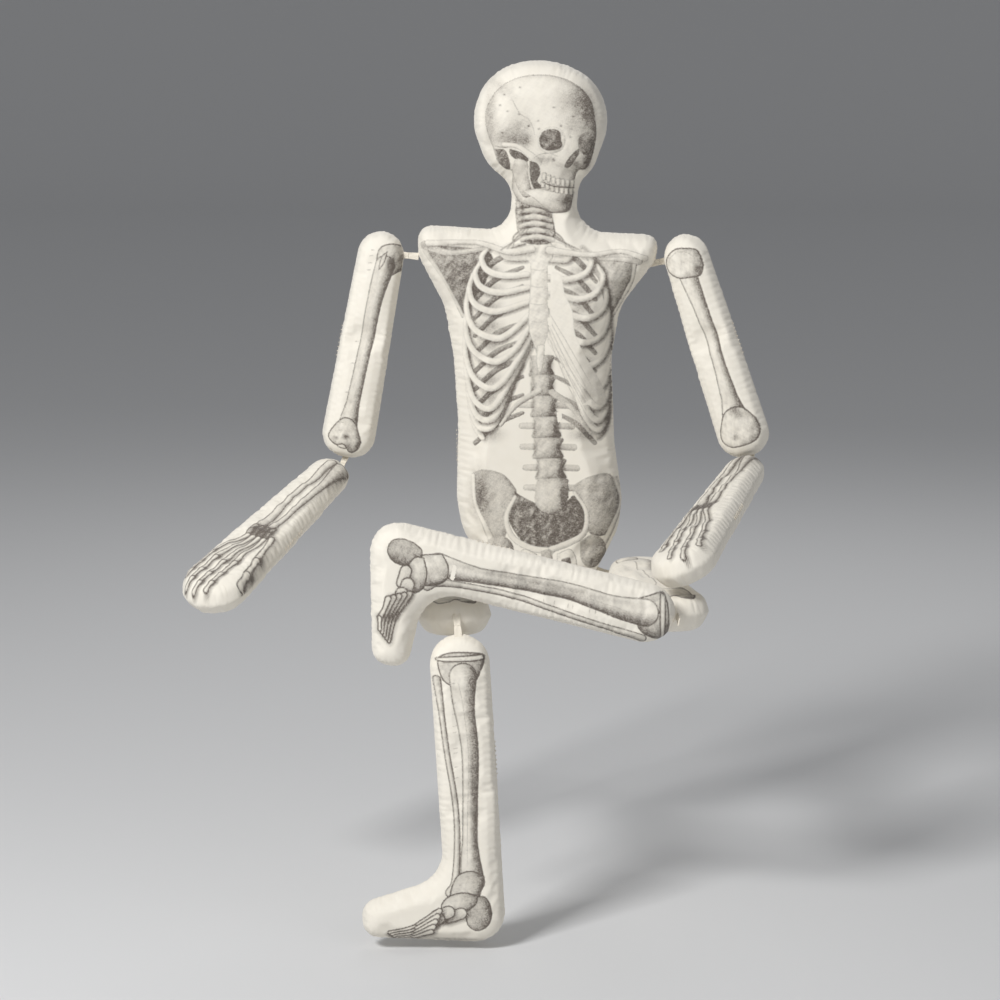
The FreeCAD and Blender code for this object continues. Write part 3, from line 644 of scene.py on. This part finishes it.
def ink_group():
    """Engraver's ink: a tone broken into fine slanting lines and stipple."""
    group = bpy.data.node_groups.new("engraved_ink", "ShaderNodeTree")
    group.interface.new_socket("Vector", in_out="INPUT", socket_type="NodeSocketVector")
    group.interface.new_socket("Tone", in_out="INPUT", socket_type="NodeSocketFloat")
    group.interface.new_socket("Ink", in_out="OUTPUT", socket_type="NodeSocketFloat")
    add, link = group.nodes.new, group.links.new
    source, out = add("NodeGroupInput"), add("NodeGroupOutput")
    turned = add("ShaderNodeMapping")
    turned.inputs["Rotation"].default_value = (0, 0, 0.6)
    link(source.outputs["Vector"], turned.inputs["Vector"])
    lines = add("ShaderNodeTexWave")
    lines.inputs["Scale"].default_value = 240
    lines.inputs["Distortion"].default_value = 3
    lines.inputs["Detail"].default_value = 2
    link(turned.outputs["Vector"], lines.inputs["Vector"])
    grain = add("ShaderNodeTexNoise")
    grain.inputs["Scale"].default_value = 520
    grain.inputs["Detail"].default_value = 3
    link(source.outputs["Vector"], grain.inputs["Vector"])
    mixed = add("ShaderNodeMath")
    mixed.operation = "ADD"
    link(lines.outputs["Fac"], mixed.inputs[0])
    link(grain.outputs["Fac"], mixed.inputs[1])
    swing = add("ShaderNodeMapRange")
    swing.inputs["From Min"].default_value, swing.inputs["From Max"].default_value = 0.2, 1.6
    swing.inputs["To Min"].default_value, swing.inputs["To Max"].default_value = 0.55, 1.4
    link(mixed.outputs[0], swing.inputs["Value"])
    broken = add("ShaderNodeMath")
    broken.operation = "MULTIPLY"
    broken.use_clamp = True
    link(source.outputs["Tone"], broken.inputs[0])
    link(swing.outputs["Result"], broken.inputs[1])
    link(broken.outputs[0], out.inputs["Ink"])
    return group


plain_weave, engraved_ink = weave_group(), ink_group()


def cotton(name, base, worn, printed):
    """Ivory plain-weave cotton; the front panels' ink comes from the drawing laid on them."""
    material = bpy.data.materials.new(name)
    material.use_nodes = True
    nodes, link = material.node_tree.nodes, material.node_tree.links.new
    shader = nodes["Principled BSDF"]
    shader.inputs["Roughness"].default_value = 0.88
    shader.inputs["Sheen Weight"].default_value = 0.18
    shader.inputs["Sheen Roughness"].default_value = 0.5
    shader.inputs["Specular IOR Level"].default_value = 0.2
    where = nodes.new("ShaderNodeUVMap" if printed else "ShaderNodeTexCoord")
    vector = where.outputs["UV"] if printed else where.outputs["Object"]
    if printed:
        where.uv_map = "panel"
    weave = nodes.new("ShaderNodeGroup")
    weave.node_tree = plain_weave
    weave.inputs["Pitch"].default_value = 420
    link(vector, weave.inputs["Vector"])
    tint = nodes.new("ShaderNodeMix")
    tint.data_type = "RGBA"
    tint.inputs[6].default_value, tint.inputs[7].default_value = (*base, 1), (*worn, 1)
    link(weave.outputs["Shade"], tint.inputs[0])
    last = tint.outputs[2]
    if printed:
        drawn = nodes.new("ShaderNodeAttribute")
        drawn.attribute_name = "ink"
        ink = nodes.new("ShaderNodeGroup")
        ink.node_tree = engraved_ink
        link(vector, ink.inputs["Vector"])
        link(drawn.outputs["Fac"], ink.inputs["Tone"])
        print_ = nodes.new("ShaderNodeMix")
        print_.data_type = "RGBA"
        print_.inputs[7].default_value = (0.072, 0.053, 0.042, 1)
        link(last, print_.inputs[6])
        link(ink.outputs["Ink"], print_.inputs[0])
        last = print_.outputs[2]
    link(last, shader.inputs["Base Color"])
    bump = nodes.new("ShaderNodeBump")
    bump.inputs["Strength"].default_value = 0.25
    bump.inputs["Distance"].default_value = 0.0003
    link(weave.outputs["Height"], bump.inputs["Height"])
    link(bump.outputs["Normal"], shader.inputs["Normal"])
    return material


printed_cotton = cotton("printed_cotton", (0.88, 0.835, 0.745), (0.82, 0.77, 0.67), True)


def finish_cushion(cushion, body):
    cushion.data.materials.append(printed_cotton)
    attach(cushion, body)
    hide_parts(body + "_front_panel", body + "_back_panel", body + "_stuffing")


finish_cushion(torso, "torso")

# --- Upper arms: long round-ended cushions, sewn and stuffed as the trunk is, and each printed
# with the one bone of the upper arm in a stronger outline.


def hang(corner, across, along):
    """Where a limb's panel hangs: its corner, its across and along ways, and its face."""
    along = Vector(along).normalized()
    across = Vector(across)
    across = (across - along * across.dot(along)).normalized()
    face = across.cross(along)
    return Matrix((across, along, face)).transposed().to_4x4() + Matrix(
        ((0, 0, 0, corner[0]), (0, 0, 0, corner[1]), (0, 0, 0, corner[2]), (0, 0, 0, 0)))


ARM_THICK, LIMB_OUTLINE, LIMB_RIM = 52, 1.6, 1.3
arm_line = rounded([(6, 0, 30), (70, 0, 30), (77, 320, 30), (0, 320, 30)])
right_arm, spots = stuff("right_upper_arm_cushion", arm_line, ARM_THICK,
                         hang((-0.1847, 0.0, 0.4959), (-0.979, 0.098, 0.179), (-0.18, 0, -0.984)), seed=11,
                         pucker=0.5)
art = Engraving(spots, LIMB_OUTLINE, LIMB_RIM)
art.dark_side = np.array([-0.95, 0.3])
art.plate([(4, 20), (14, 14), (26, 14), (38, 22), (40, 40), (36, 58), (22, 60), (12, 54), (4, 44)],
          0.10, 0.5, 0.7, 10, glow=0.2)
art.bone([(27, 44), (32, 90), (34, 150), (36, 210), (38, 250), (40, 290)], [27, 21, 19, 18, 19, 32],
         0.12, 0.7, 0.7)
art.plate([(16, 292), (30, 266), (46, 262), (58, 276), (64, 292), (52, 302), (40, 300), (30, 310),
           (20, 304)], 0.10, 0.45, 0.75, 9, glow=0.25)
art.plate([(26, 24), (34, 34), (34, 52), (28, 40)], 0.1, 0.3, 0.5, 5)
art.smudge((19, 38), (8, 12), 0.5)
art.smudge((38, 288), (6, 4), 0.5)
art.smudge((52, 292), (5, 3), 0.4)
for along in (26, 34, 44, 54, 155, 185, 226, 269, 280):
    art.line([(45, along), (50, along + 1)], 0.8, 0.4, False)
art.done(right_arm)
finish_cushion(right_arm, "right_upper_arm")

left_arm, spots = stuff("left_upper_arm_cushion", arm_line, ARM_THICK,
                        hang((0.2178, -0.0229, 0.5112), (-0.886, 0.331, -0.326),
                             (0.310, -0.100, -0.945)), seed=12, pucker=0.5)
art = Engraving(spots, LIMB_OUTLINE, LIMB_RIM)
art.dark_side = np.array([-0.95, 0.3])
art.bone([(36, 58), (33, 110), (33, 165), (33, 215), (34, 250), (34, 278)], [26, 20, 18, 18, 24, 44],
         0.08, 0.7, 0.75)
art.plate([(12, 50), (14, 28), (28, 20), (44, 17), (60, 26), (64, 42), (52, 56), (38, 60), (20, 62)],
          0.06, 0.28, 0.8, 9, glow=0.3)
art.line([(18, 46), (24, 30), (40, 22), (56, 28)], 1.2, 0.35)
art.plate([(8, 270), (22, 250), (44, 250), (58, 268), (64, 286), (54, 300), (34, 303), (16, 300),
           (7, 288)], 0.06, 0.34, 0.75, 9, glow=0.22)
art.smudge((31, 254), (10, 10), 0.45)
art.smudge((22, 54), (6, 8), 0.5)
art.smudge((44, 288), (6, 6), 0.35)
art.done(left_arm)
finish_cushion(left_arm, "left_upper_arm")

# --- Forearms: each narrows at the elbow and widens to a mitten, printed with the two bones of
# the forearm, the small bones of the wrist and the fingers.
FOREARM_THICK = 46
forearm_line = rounded([(19, 0, 25), (76, 0, 25), (99, 349, 46), (-1, 349, 46)])


def draw_hand(art, elbow, wrist, knuckles, tips, thumb, dark):
    """Two long bones, eight wrist bones, five hand bones and the fingers, jointed."""
    elbow, wrist = np.array(elbow, float), np.array(wrist, float)
    way = (wrist - elbow) / np.linalg.norm(wrist - elbow)
    across = np.array([way[1], -way[0]])
    art.bone([elbow + across * 9, (elbow + wrist) / 2 + across * 12, wrist + across * 8],
             [16, 10, 11, 17], 0.12, dark, 0.85, 0.4)
    art.bone([elbow - across * 7, (elbow + wrist) / 2 - across * 10, wrist - across * 9],
             [17, 11, 10, 14], 0.14, dark, 0.85, 0.4)
    for row in range(2):
        for bone in range(4):
            at = wrist + way * (9 + row * 10) + across * ((bone - 1.5) * 9.5)
            art.bone([at - way * 2, at + way * 2], [10, 10], 0.30, dark, 0.95, 0.5)
    art.smudge(wrist + way * 13, (19, 12), dark * 0.6)
    art.smudge(elbow + way * 26, (9, 34), dark * 0.3)
    base = wrist + way * 27
    for number, (knuckle, tip) in enumerate(zip(knuckles, tips)):
        start = base + across * ((1.5 - number) * 9)
        knuckle, tip = np.array(knuckle, float), np.array(tip, float)
        art.bone([start, (start + knuckle) / 2, knuckle], [9.5, 7, 7, 10], 0.10, dark, 0.85, 0.5)
        joints = (knuckle, knuckle + (tip - knuckle) * 0.46, knuckle + (tip - knuckle) * 0.78, tip)
        for near, far in zip(joints, joints[1:]):
            gap = (far - near) * 0.06
            art.bone([near + gap, (near + far) / 2, far - gap], [9, 6.5, 6.5, 8], 0.08, dark, 0.85, 0.5)
    if thumb is None:
        return
    start = wrist + way * 22 + across * thumb[0]
    tip = np.array(thumb[1:], float)
    for near, far in ((0, 0.44), (0.47, 0.74), (0.77, 1)):
        near, far = start + (tip - start) * near, start + (tip - start) * far
        art.bone([near, (near + far) / 2, far], [9.5, 7, 9], 0.08, dark, 0.85, 0.5)


right_forearm, spots = stuff("right_forearm_cushion", forearm_line, FOREARM_THICK,
                             hang((-0.2471, -0.0258, 0.1668), (-0.862, 0.481, 0.158),
                                  (-0.4997, -0.7586, -0.4181)), seed=21, pucker=0.7)
art = Engraving(spots, LIMB_OUTLINE, LIMB_RIM)
art.dark_side = np.array([-0.85, 0.5])
draw_hand(art, (34, 22), (44, 182), ((80, 258), (66, 270), (51, 274), (37, 268)),
          ((84, 318), (71, 337), (55, 342), (39, 337)), (-24, 7, 304), 0.6)
art.done(right_forearm)
finish_cushion(right_forearm, "right_forearm")

left_forearm, spots = stuff("left_forearm_cushion", forearm_line, FOREARM_THICK,
                            hang((0.3215, -0.0721, 0.1983), (-0.845, 0.427, -0.322),
                                 (-0.3455, -0.8955, -0.2807)), seed=22, pucker=0.7)
art = Engraving(spots, LIMB_OUTLINE, LIMB_RIM)
art.dark_side = np.array([-0.85, 0.5])
draw_hand(art, (38, 14), (56, 156), ((77, 230), (60, 247), (42, 250), (28, 236)),
          ((71, 306), (50, 334), (31, 336), (15, 312)), None, 0.8)
art.done(left_forearm)
finish_cushion(left_forearm, "left_forearm")

# --- Thighs: wide cushions lying on the seat, each printed with the thigh bone, its round head at
# the hip and its two-lobed end at the knee.
THIGH_THICK = 46
thigh_line = rounded([(3, 0, 40), (95, 0, 40), (98, 368, 40), (0, 368, 40)])
for side, corner, across, along, seed in (
        ("right", (-0.1031, 0.0196, 0.0245), (-0.9959, -0.09, 0), (0.09, -0.9959, 0), 31),
        ("left", (0.1777, 0.0213, 0.0239), (-0.995, -0.1, 0), (0.1, -0.9949, 0.0163), 32)):
    thigh, spots = stuff(side + "_thigh_cushion", thigh_line, THIGH_THICK, hang(corner, across, along),
                         seed=seed)
    art = Engraving(spots, LIMB_OUTLINE, LIMB_RIM)
    art.dark_side = np.array([-0.9, 0.4])
    head = 30 if side == "right" else 68
    art.bone([(head, 46), (49, 66), (52, 120), (50, 190), (49, 250), (49, 300)],
             [26, 24, 17, 16, 19, 44], 0.05, 0.6, 0.6)
    art.plate([(head - 15, 36), (head, 24), (head + 15, 36), (head + 12, 54), (head - 12, 54)], 0.08,
              0.35, 0.6, 9)
    art.plate([(18, 326), (28, 300), (49, 294), (70, 300), (80, 326), (74, 350), (58, 352), (49, 344),
               (40, 352), (24, 350)], 0.10, 0.5, 0.65, 10)
    art.smudge((49, 336), (8, 12), 0.5)
    art.smudge((28, 334), (6, 14), 0.3)
    art.done(thigh)
    finish_cushion(thigh, side + "_thigh")

# --- Shins: each is one cushion with its foot, shaped like a long boot.  The print has the two
# bones of the lower leg, the ankle and heel, and the foot seen from its inner side.
SHIN_THICK = 46
FOOT_SLANT = 0.234                                        # how much the crossed foot turns up


def draw_shin(art, turn, dark):
    """The lower leg in its own panel; turn takes a point to the other foot's panel."""
    def at(points):
        return [turn(x, y) for x, y in points]

    art.plate(at([(18, 36), (18, 26), (32, 21), (60, 20), (76, 26), (78, 38), (72, 56), (60, 64),
                  (40, 66), (30, 60)]), 0.16, 0.45, 0.8, 10, mottle=0.14, glow=0.25)
    art.bone(at([(46, 52), (46, 90), (40, 150), (42, 220), (44, 280), (42, 322)]),
             [36, 25, 22, 20, 20, 32], 0.06, 0.8, 0.75)
    art.smudge(turn(38, 200), (6, 120), 0.35)
    art.line(at([(52, 60), (46, 100), (42, 160), (46, 240), (48, 300)]), 1.0, 0.35)
    art.bone(at([(80, 56), (76, 90), (70, 150), (62, 210), (60, 260), (64, 320), (72, 336)]),
             [12, 8, 8, 8, 8, 9, 12], 0.12, 0.6, 0.8)
    art.plate(at([(20, 24), (76, 26), (74, 32), (22, 32)]), 0.05, 0.2, 0.7, 4)
    art.plate(at([(26, 316), (42, 308), (62, 314), (72, 340), (60, 346), (36, 346)]), 0.12, 0.5, 0.8, 8,
              mottle=0.1, glow=0.3)
    # heel bone, ankle bone and the foot's arch
    art.plate(at([(20, 352), (28, 342), (44, 346), (52, 362), (50, 380), (38, 388), (24, 382),
                  (18, 368)]), 0.30, 0.35, 0.8, 9, mottle=0.1, glow=0.2)
    art.plate(at([(36, 340), (56, 336), (76, 342), (84, 356), (70, 366), (52, 362), (38, 352)]), 0.10,
              0.4, 0.85, 8, mottle=0.08, glow=0.35)
    for x, y, long, wide in ((66, 366, 16, 16), (82, 364, 15, 18), (94, 372, 13, 17)):
        art.bone(at([(x - long / 2, y - 2), (x + long / 2, y + 3)]), [wide, wide], 0.12, dark, 0.9, 0.5)
    for toe in range(5):
        start, knuckle = (86 + toe * 3, 360 + toe * 7), (118 + toe * 2, 380 + toe * 5)
        tip = (152 - toe * 3, 388 + toe * 3)
        art.bone(at([start, ((start[0] + knuckle[0]) / 2, (start[1] + knuckle[1]) / 2 - 1), knuckle]),
                 [9, 6.5, 8], 0.08, dark, 0.9, 0.5)
        art.bone(at([knuckle, ((knuckle[0] + tip[0]) / 2, (knuckle[1] + tip[1]) / 2), tip]),
                 [7, 5.5, 6], 0.08, dark, 0.85, 0.5)
    for along in (60, 86, 100, 116, 124, 146, 152, 170, 184, 304, 326):
        art.line(at([(56, along), (61, along + 1)]), 0.8, 0.35, False)


right_shin_line = rounded([(12, 0, 36), (90, 0, 36), (80, 320, 40), (188, 352, 20), (188, 398, 20),
                           (0, 412, 36)])
right_shin, spots = stuff("right_shin_cushion", right_shin_line, SHIN_THICK,
                          hang((-0.0662, -0.3652, 0.0124), (-0.9996, 0, -0.03), (0.03, -0.02, -0.9994)),
                          seed=41, pucker=0.55)
art = Engraving(spots, LIMB_OUTLINE, LIMB_RIM)
art.dark_side = np.array([-0.95, 0.3])
draw_shin(art, lambda x, y: (x, y), 0.5)
art.smudge((70, 402), (60, 5), 0.4, -0.03)
art.done(right_shin)
finish_cushion(right_shin, "right_shin")

left_shin_line = rounded([(188, 412, 36), (0, 368, 20), (0, 322, 20), (108, 320, 40), (98, 0, 36),
                          (176, 0, 36)])
left_shin, spots = stuff("left_shin_cushion", left_shin_line, SHIN_THICK,
                         hang((0.1317, -0.3760, -0.1027), (0.2144, 0, 0.9768), (-0.9768, 0, 0.2144)),
                         seed=42, pucker=0.75)
art = Engraving(spots, LIMB_OUTLINE, LIMB_RIM)
art.dark_side = np.array([-0.95, -0.2])
draw_shin(art, lambda x, y: (188 - x, y - FOOT_SLANT * x), 0.5)
art.done(left_shin)
finish_cushion(left_shin, "left_shin")

# --- Tapes: short ends of woven cotton tape, caught in the seams, which hang one cushion from
# the next.  Closing rows: the thread that closes the gap each cushion was filled by.
TAPE_WIDTH, TAPE_THICK, CAUGHT = 10 * MM, 1.5 * MM, 13 * MM
tape_cotton = cotton("tape_cotton", (0.84, 0.79, 0.69), (0.74, 0.68, 0.57), False)
thread_cotton = cotton("thread_cotton", (0.80, 0.74, 0.63), (0.66, 0.59, 0.48), False)
hinges = {}
for joint in frame["joints"]:
    if joint["child"].endswith("_tape"):
        hinges.setdefault(joint["child"], {})["near"] = (joint["parent"], Vector(joint["pos_m"]))
    else:
        hinges.setdefault(joint["parent"], {})["far"] = (joint["child"], Vector(joint["pos_m"]))
for name, ends in hinges.items():
    spots = np.array([tuple(point.co) for point in frame["nodes"][name].data.vertices])
    _, _, ways = np.linalg.svd(spots - spots.mean(0), full_matrices=False)
    face = Vector(ways[2])
    (before, first), (after, last) = ends["near"], ends["far"]
    along = (last - first).normalized()
    across = along.cross(face).normalized()
    middle = (first + last) / 2
    for part, pivot, start, end in (("near", first, first - along * CAUGHT, middle),
                                    ("far", last, middle, last + along * CAUGHT)):
        bpy.ops.object.select_all(action="DESELECT")
        bpy.ops.mesh.primitive_grid_add(x_subdivisions=8, y_subdivisions=12, size=2)
        strip = bpy.context.active_object
        strip.name = f"{name}_{part}_cloth"
        for point in strip.data.vertices:
            x, y = point.co.x, (point.co.y + 1) / 2
            spot = start.lerp(end, y)
            pinch = 1 - 0.13 * math.exp(-((spot - middle).length / (6 * MM)) ** 2)
            ripple = math.sin(x * 4 + y * 3) * 0.22 * MM + abs(x) ** 6 * 0.25 * MM
            point.co = spot + across * x * TAPE_WIDTH / 2 * pinch + face * ripple
        thick = strip.modifiers.new("thick", "SOLIDIFY")
        thick.thickness, thick.offset = TAPE_THICK, 0
        soft = strip.modifiers.new("soft", "SUBSURF")
        soft.levels = soft.render_levels = 2
        for modifier in ("thick", "soft"):
            bpy.ops.object.modifier_apply(modifier=modifier)
        bpy.ops.object.shade_smooth()
        strip.data.materials.append(tape_cotton)
        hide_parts(name)
        if part == "near":
            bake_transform(strip)
        else:
            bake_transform(strip)
for name, node in frame["nodes"].items():
    if name.endswith("_closing_stitches"):
        node.data.materials.clear()
        node.data.materials.append(thread_cotton)

# --- Stage: a plain pale floor at the height of the hanging foot's sole, which turns up into a
# backdrop far behind the doll, and soft lights.
FLOOR_SIZE, FLOOR_HEIGHT, BACKDROP_HEIGHT, BACKDROP_TURN = 40, -0.405, 9, 5
bpy.ops.object.select_all(action="DESELECT")
bpy.ops.mesh.primitive_plane_add(size=FLOOR_SIZE, location=(0, 0, FLOOR_HEIGHT))
floor = bpy.context.active_object
floor.name = "floor"


def select_back_edge():
    bpy.ops.object.mode_set(mode="EDIT")
    bpy.ops.mesh.select_mode(type="EDGE")
    bpy.ops.mesh.select_all(action="DESELECT")
    bpy.ops.object.mode_set(mode="OBJECT")
    for edge in floor.data.edges:
        ends = [floor.data.vertices[end].co for end in edge.vertices]
        edge.select = all(end.y > FLOOR_SIZE / 2 - 0.1 and end.z < 0.1 for end in ends)
    bpy.ops.object.mode_set(mode="EDIT")


select_back_edge()
bpy.ops.mesh.extrude_region_move(TRANSFORM_OT_translate={"value": (0, 0, BACKDROP_HEIGHT)})
select_back_edge()
bpy.ops.mesh.bevel(offset=BACKDROP_TURN, segments=24, affect="EDGES")
bpy.ops.object.mode_set(mode="OBJECT")
bpy.ops.object.shade_smooth()
bpy.ops.object.transform_apply(location=True, rotation=True, scale=True)
floor_paint = bpy.data.materials.new("floor_paint")
floor_paint.use_nodes = True
floor_paint.node_tree.nodes["Principled BSDF"].inputs["Base Color"].default_value = (0.70, 0.70, 0.70, 1)
floor_paint.node_tree.nodes["Principled BSDF"].inputs["Roughness"].default_value = 0.9
floor.data.materials.append(floor_paint)
floor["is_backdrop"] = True
for name, place, size, power in (("key", (-1.9, -2.6, 2.4), 0.9, 118), ("fill", (2.6, -3.0, 1.2), 2.4, 16),
                                 ("back", (0.5, 2.4, 2.4), 2.0, 20)):
    lamp_data = bpy.data.lights.new(name, "AREA")
    lamp_data.size, lamp_data.energy = size, power
    lamp = bpy.data.objects.new(name, lamp_data)
    lamp.location = place
    lamp.rotation_euler = (Vector((-0.05, -0.1, 0.15)) - Vector(place)).to_track_quat("-Z", "Y").to_euler()
    bpy.context.scene.collection.objects.link(lamp)
world = bpy.data.worlds.new("room")
world.use_nodes = True
world.node_tree.nodes["Background"].inputs["Color"].default_value = (0.55, 0.56, 0.58, 1)
world.node_tree.nodes["Background"].inputs["Strength"].default_value = 0.45
bpy.context.scene.world = world
bpy.context.scene.view_settings.view_transform = "Standard"

low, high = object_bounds()
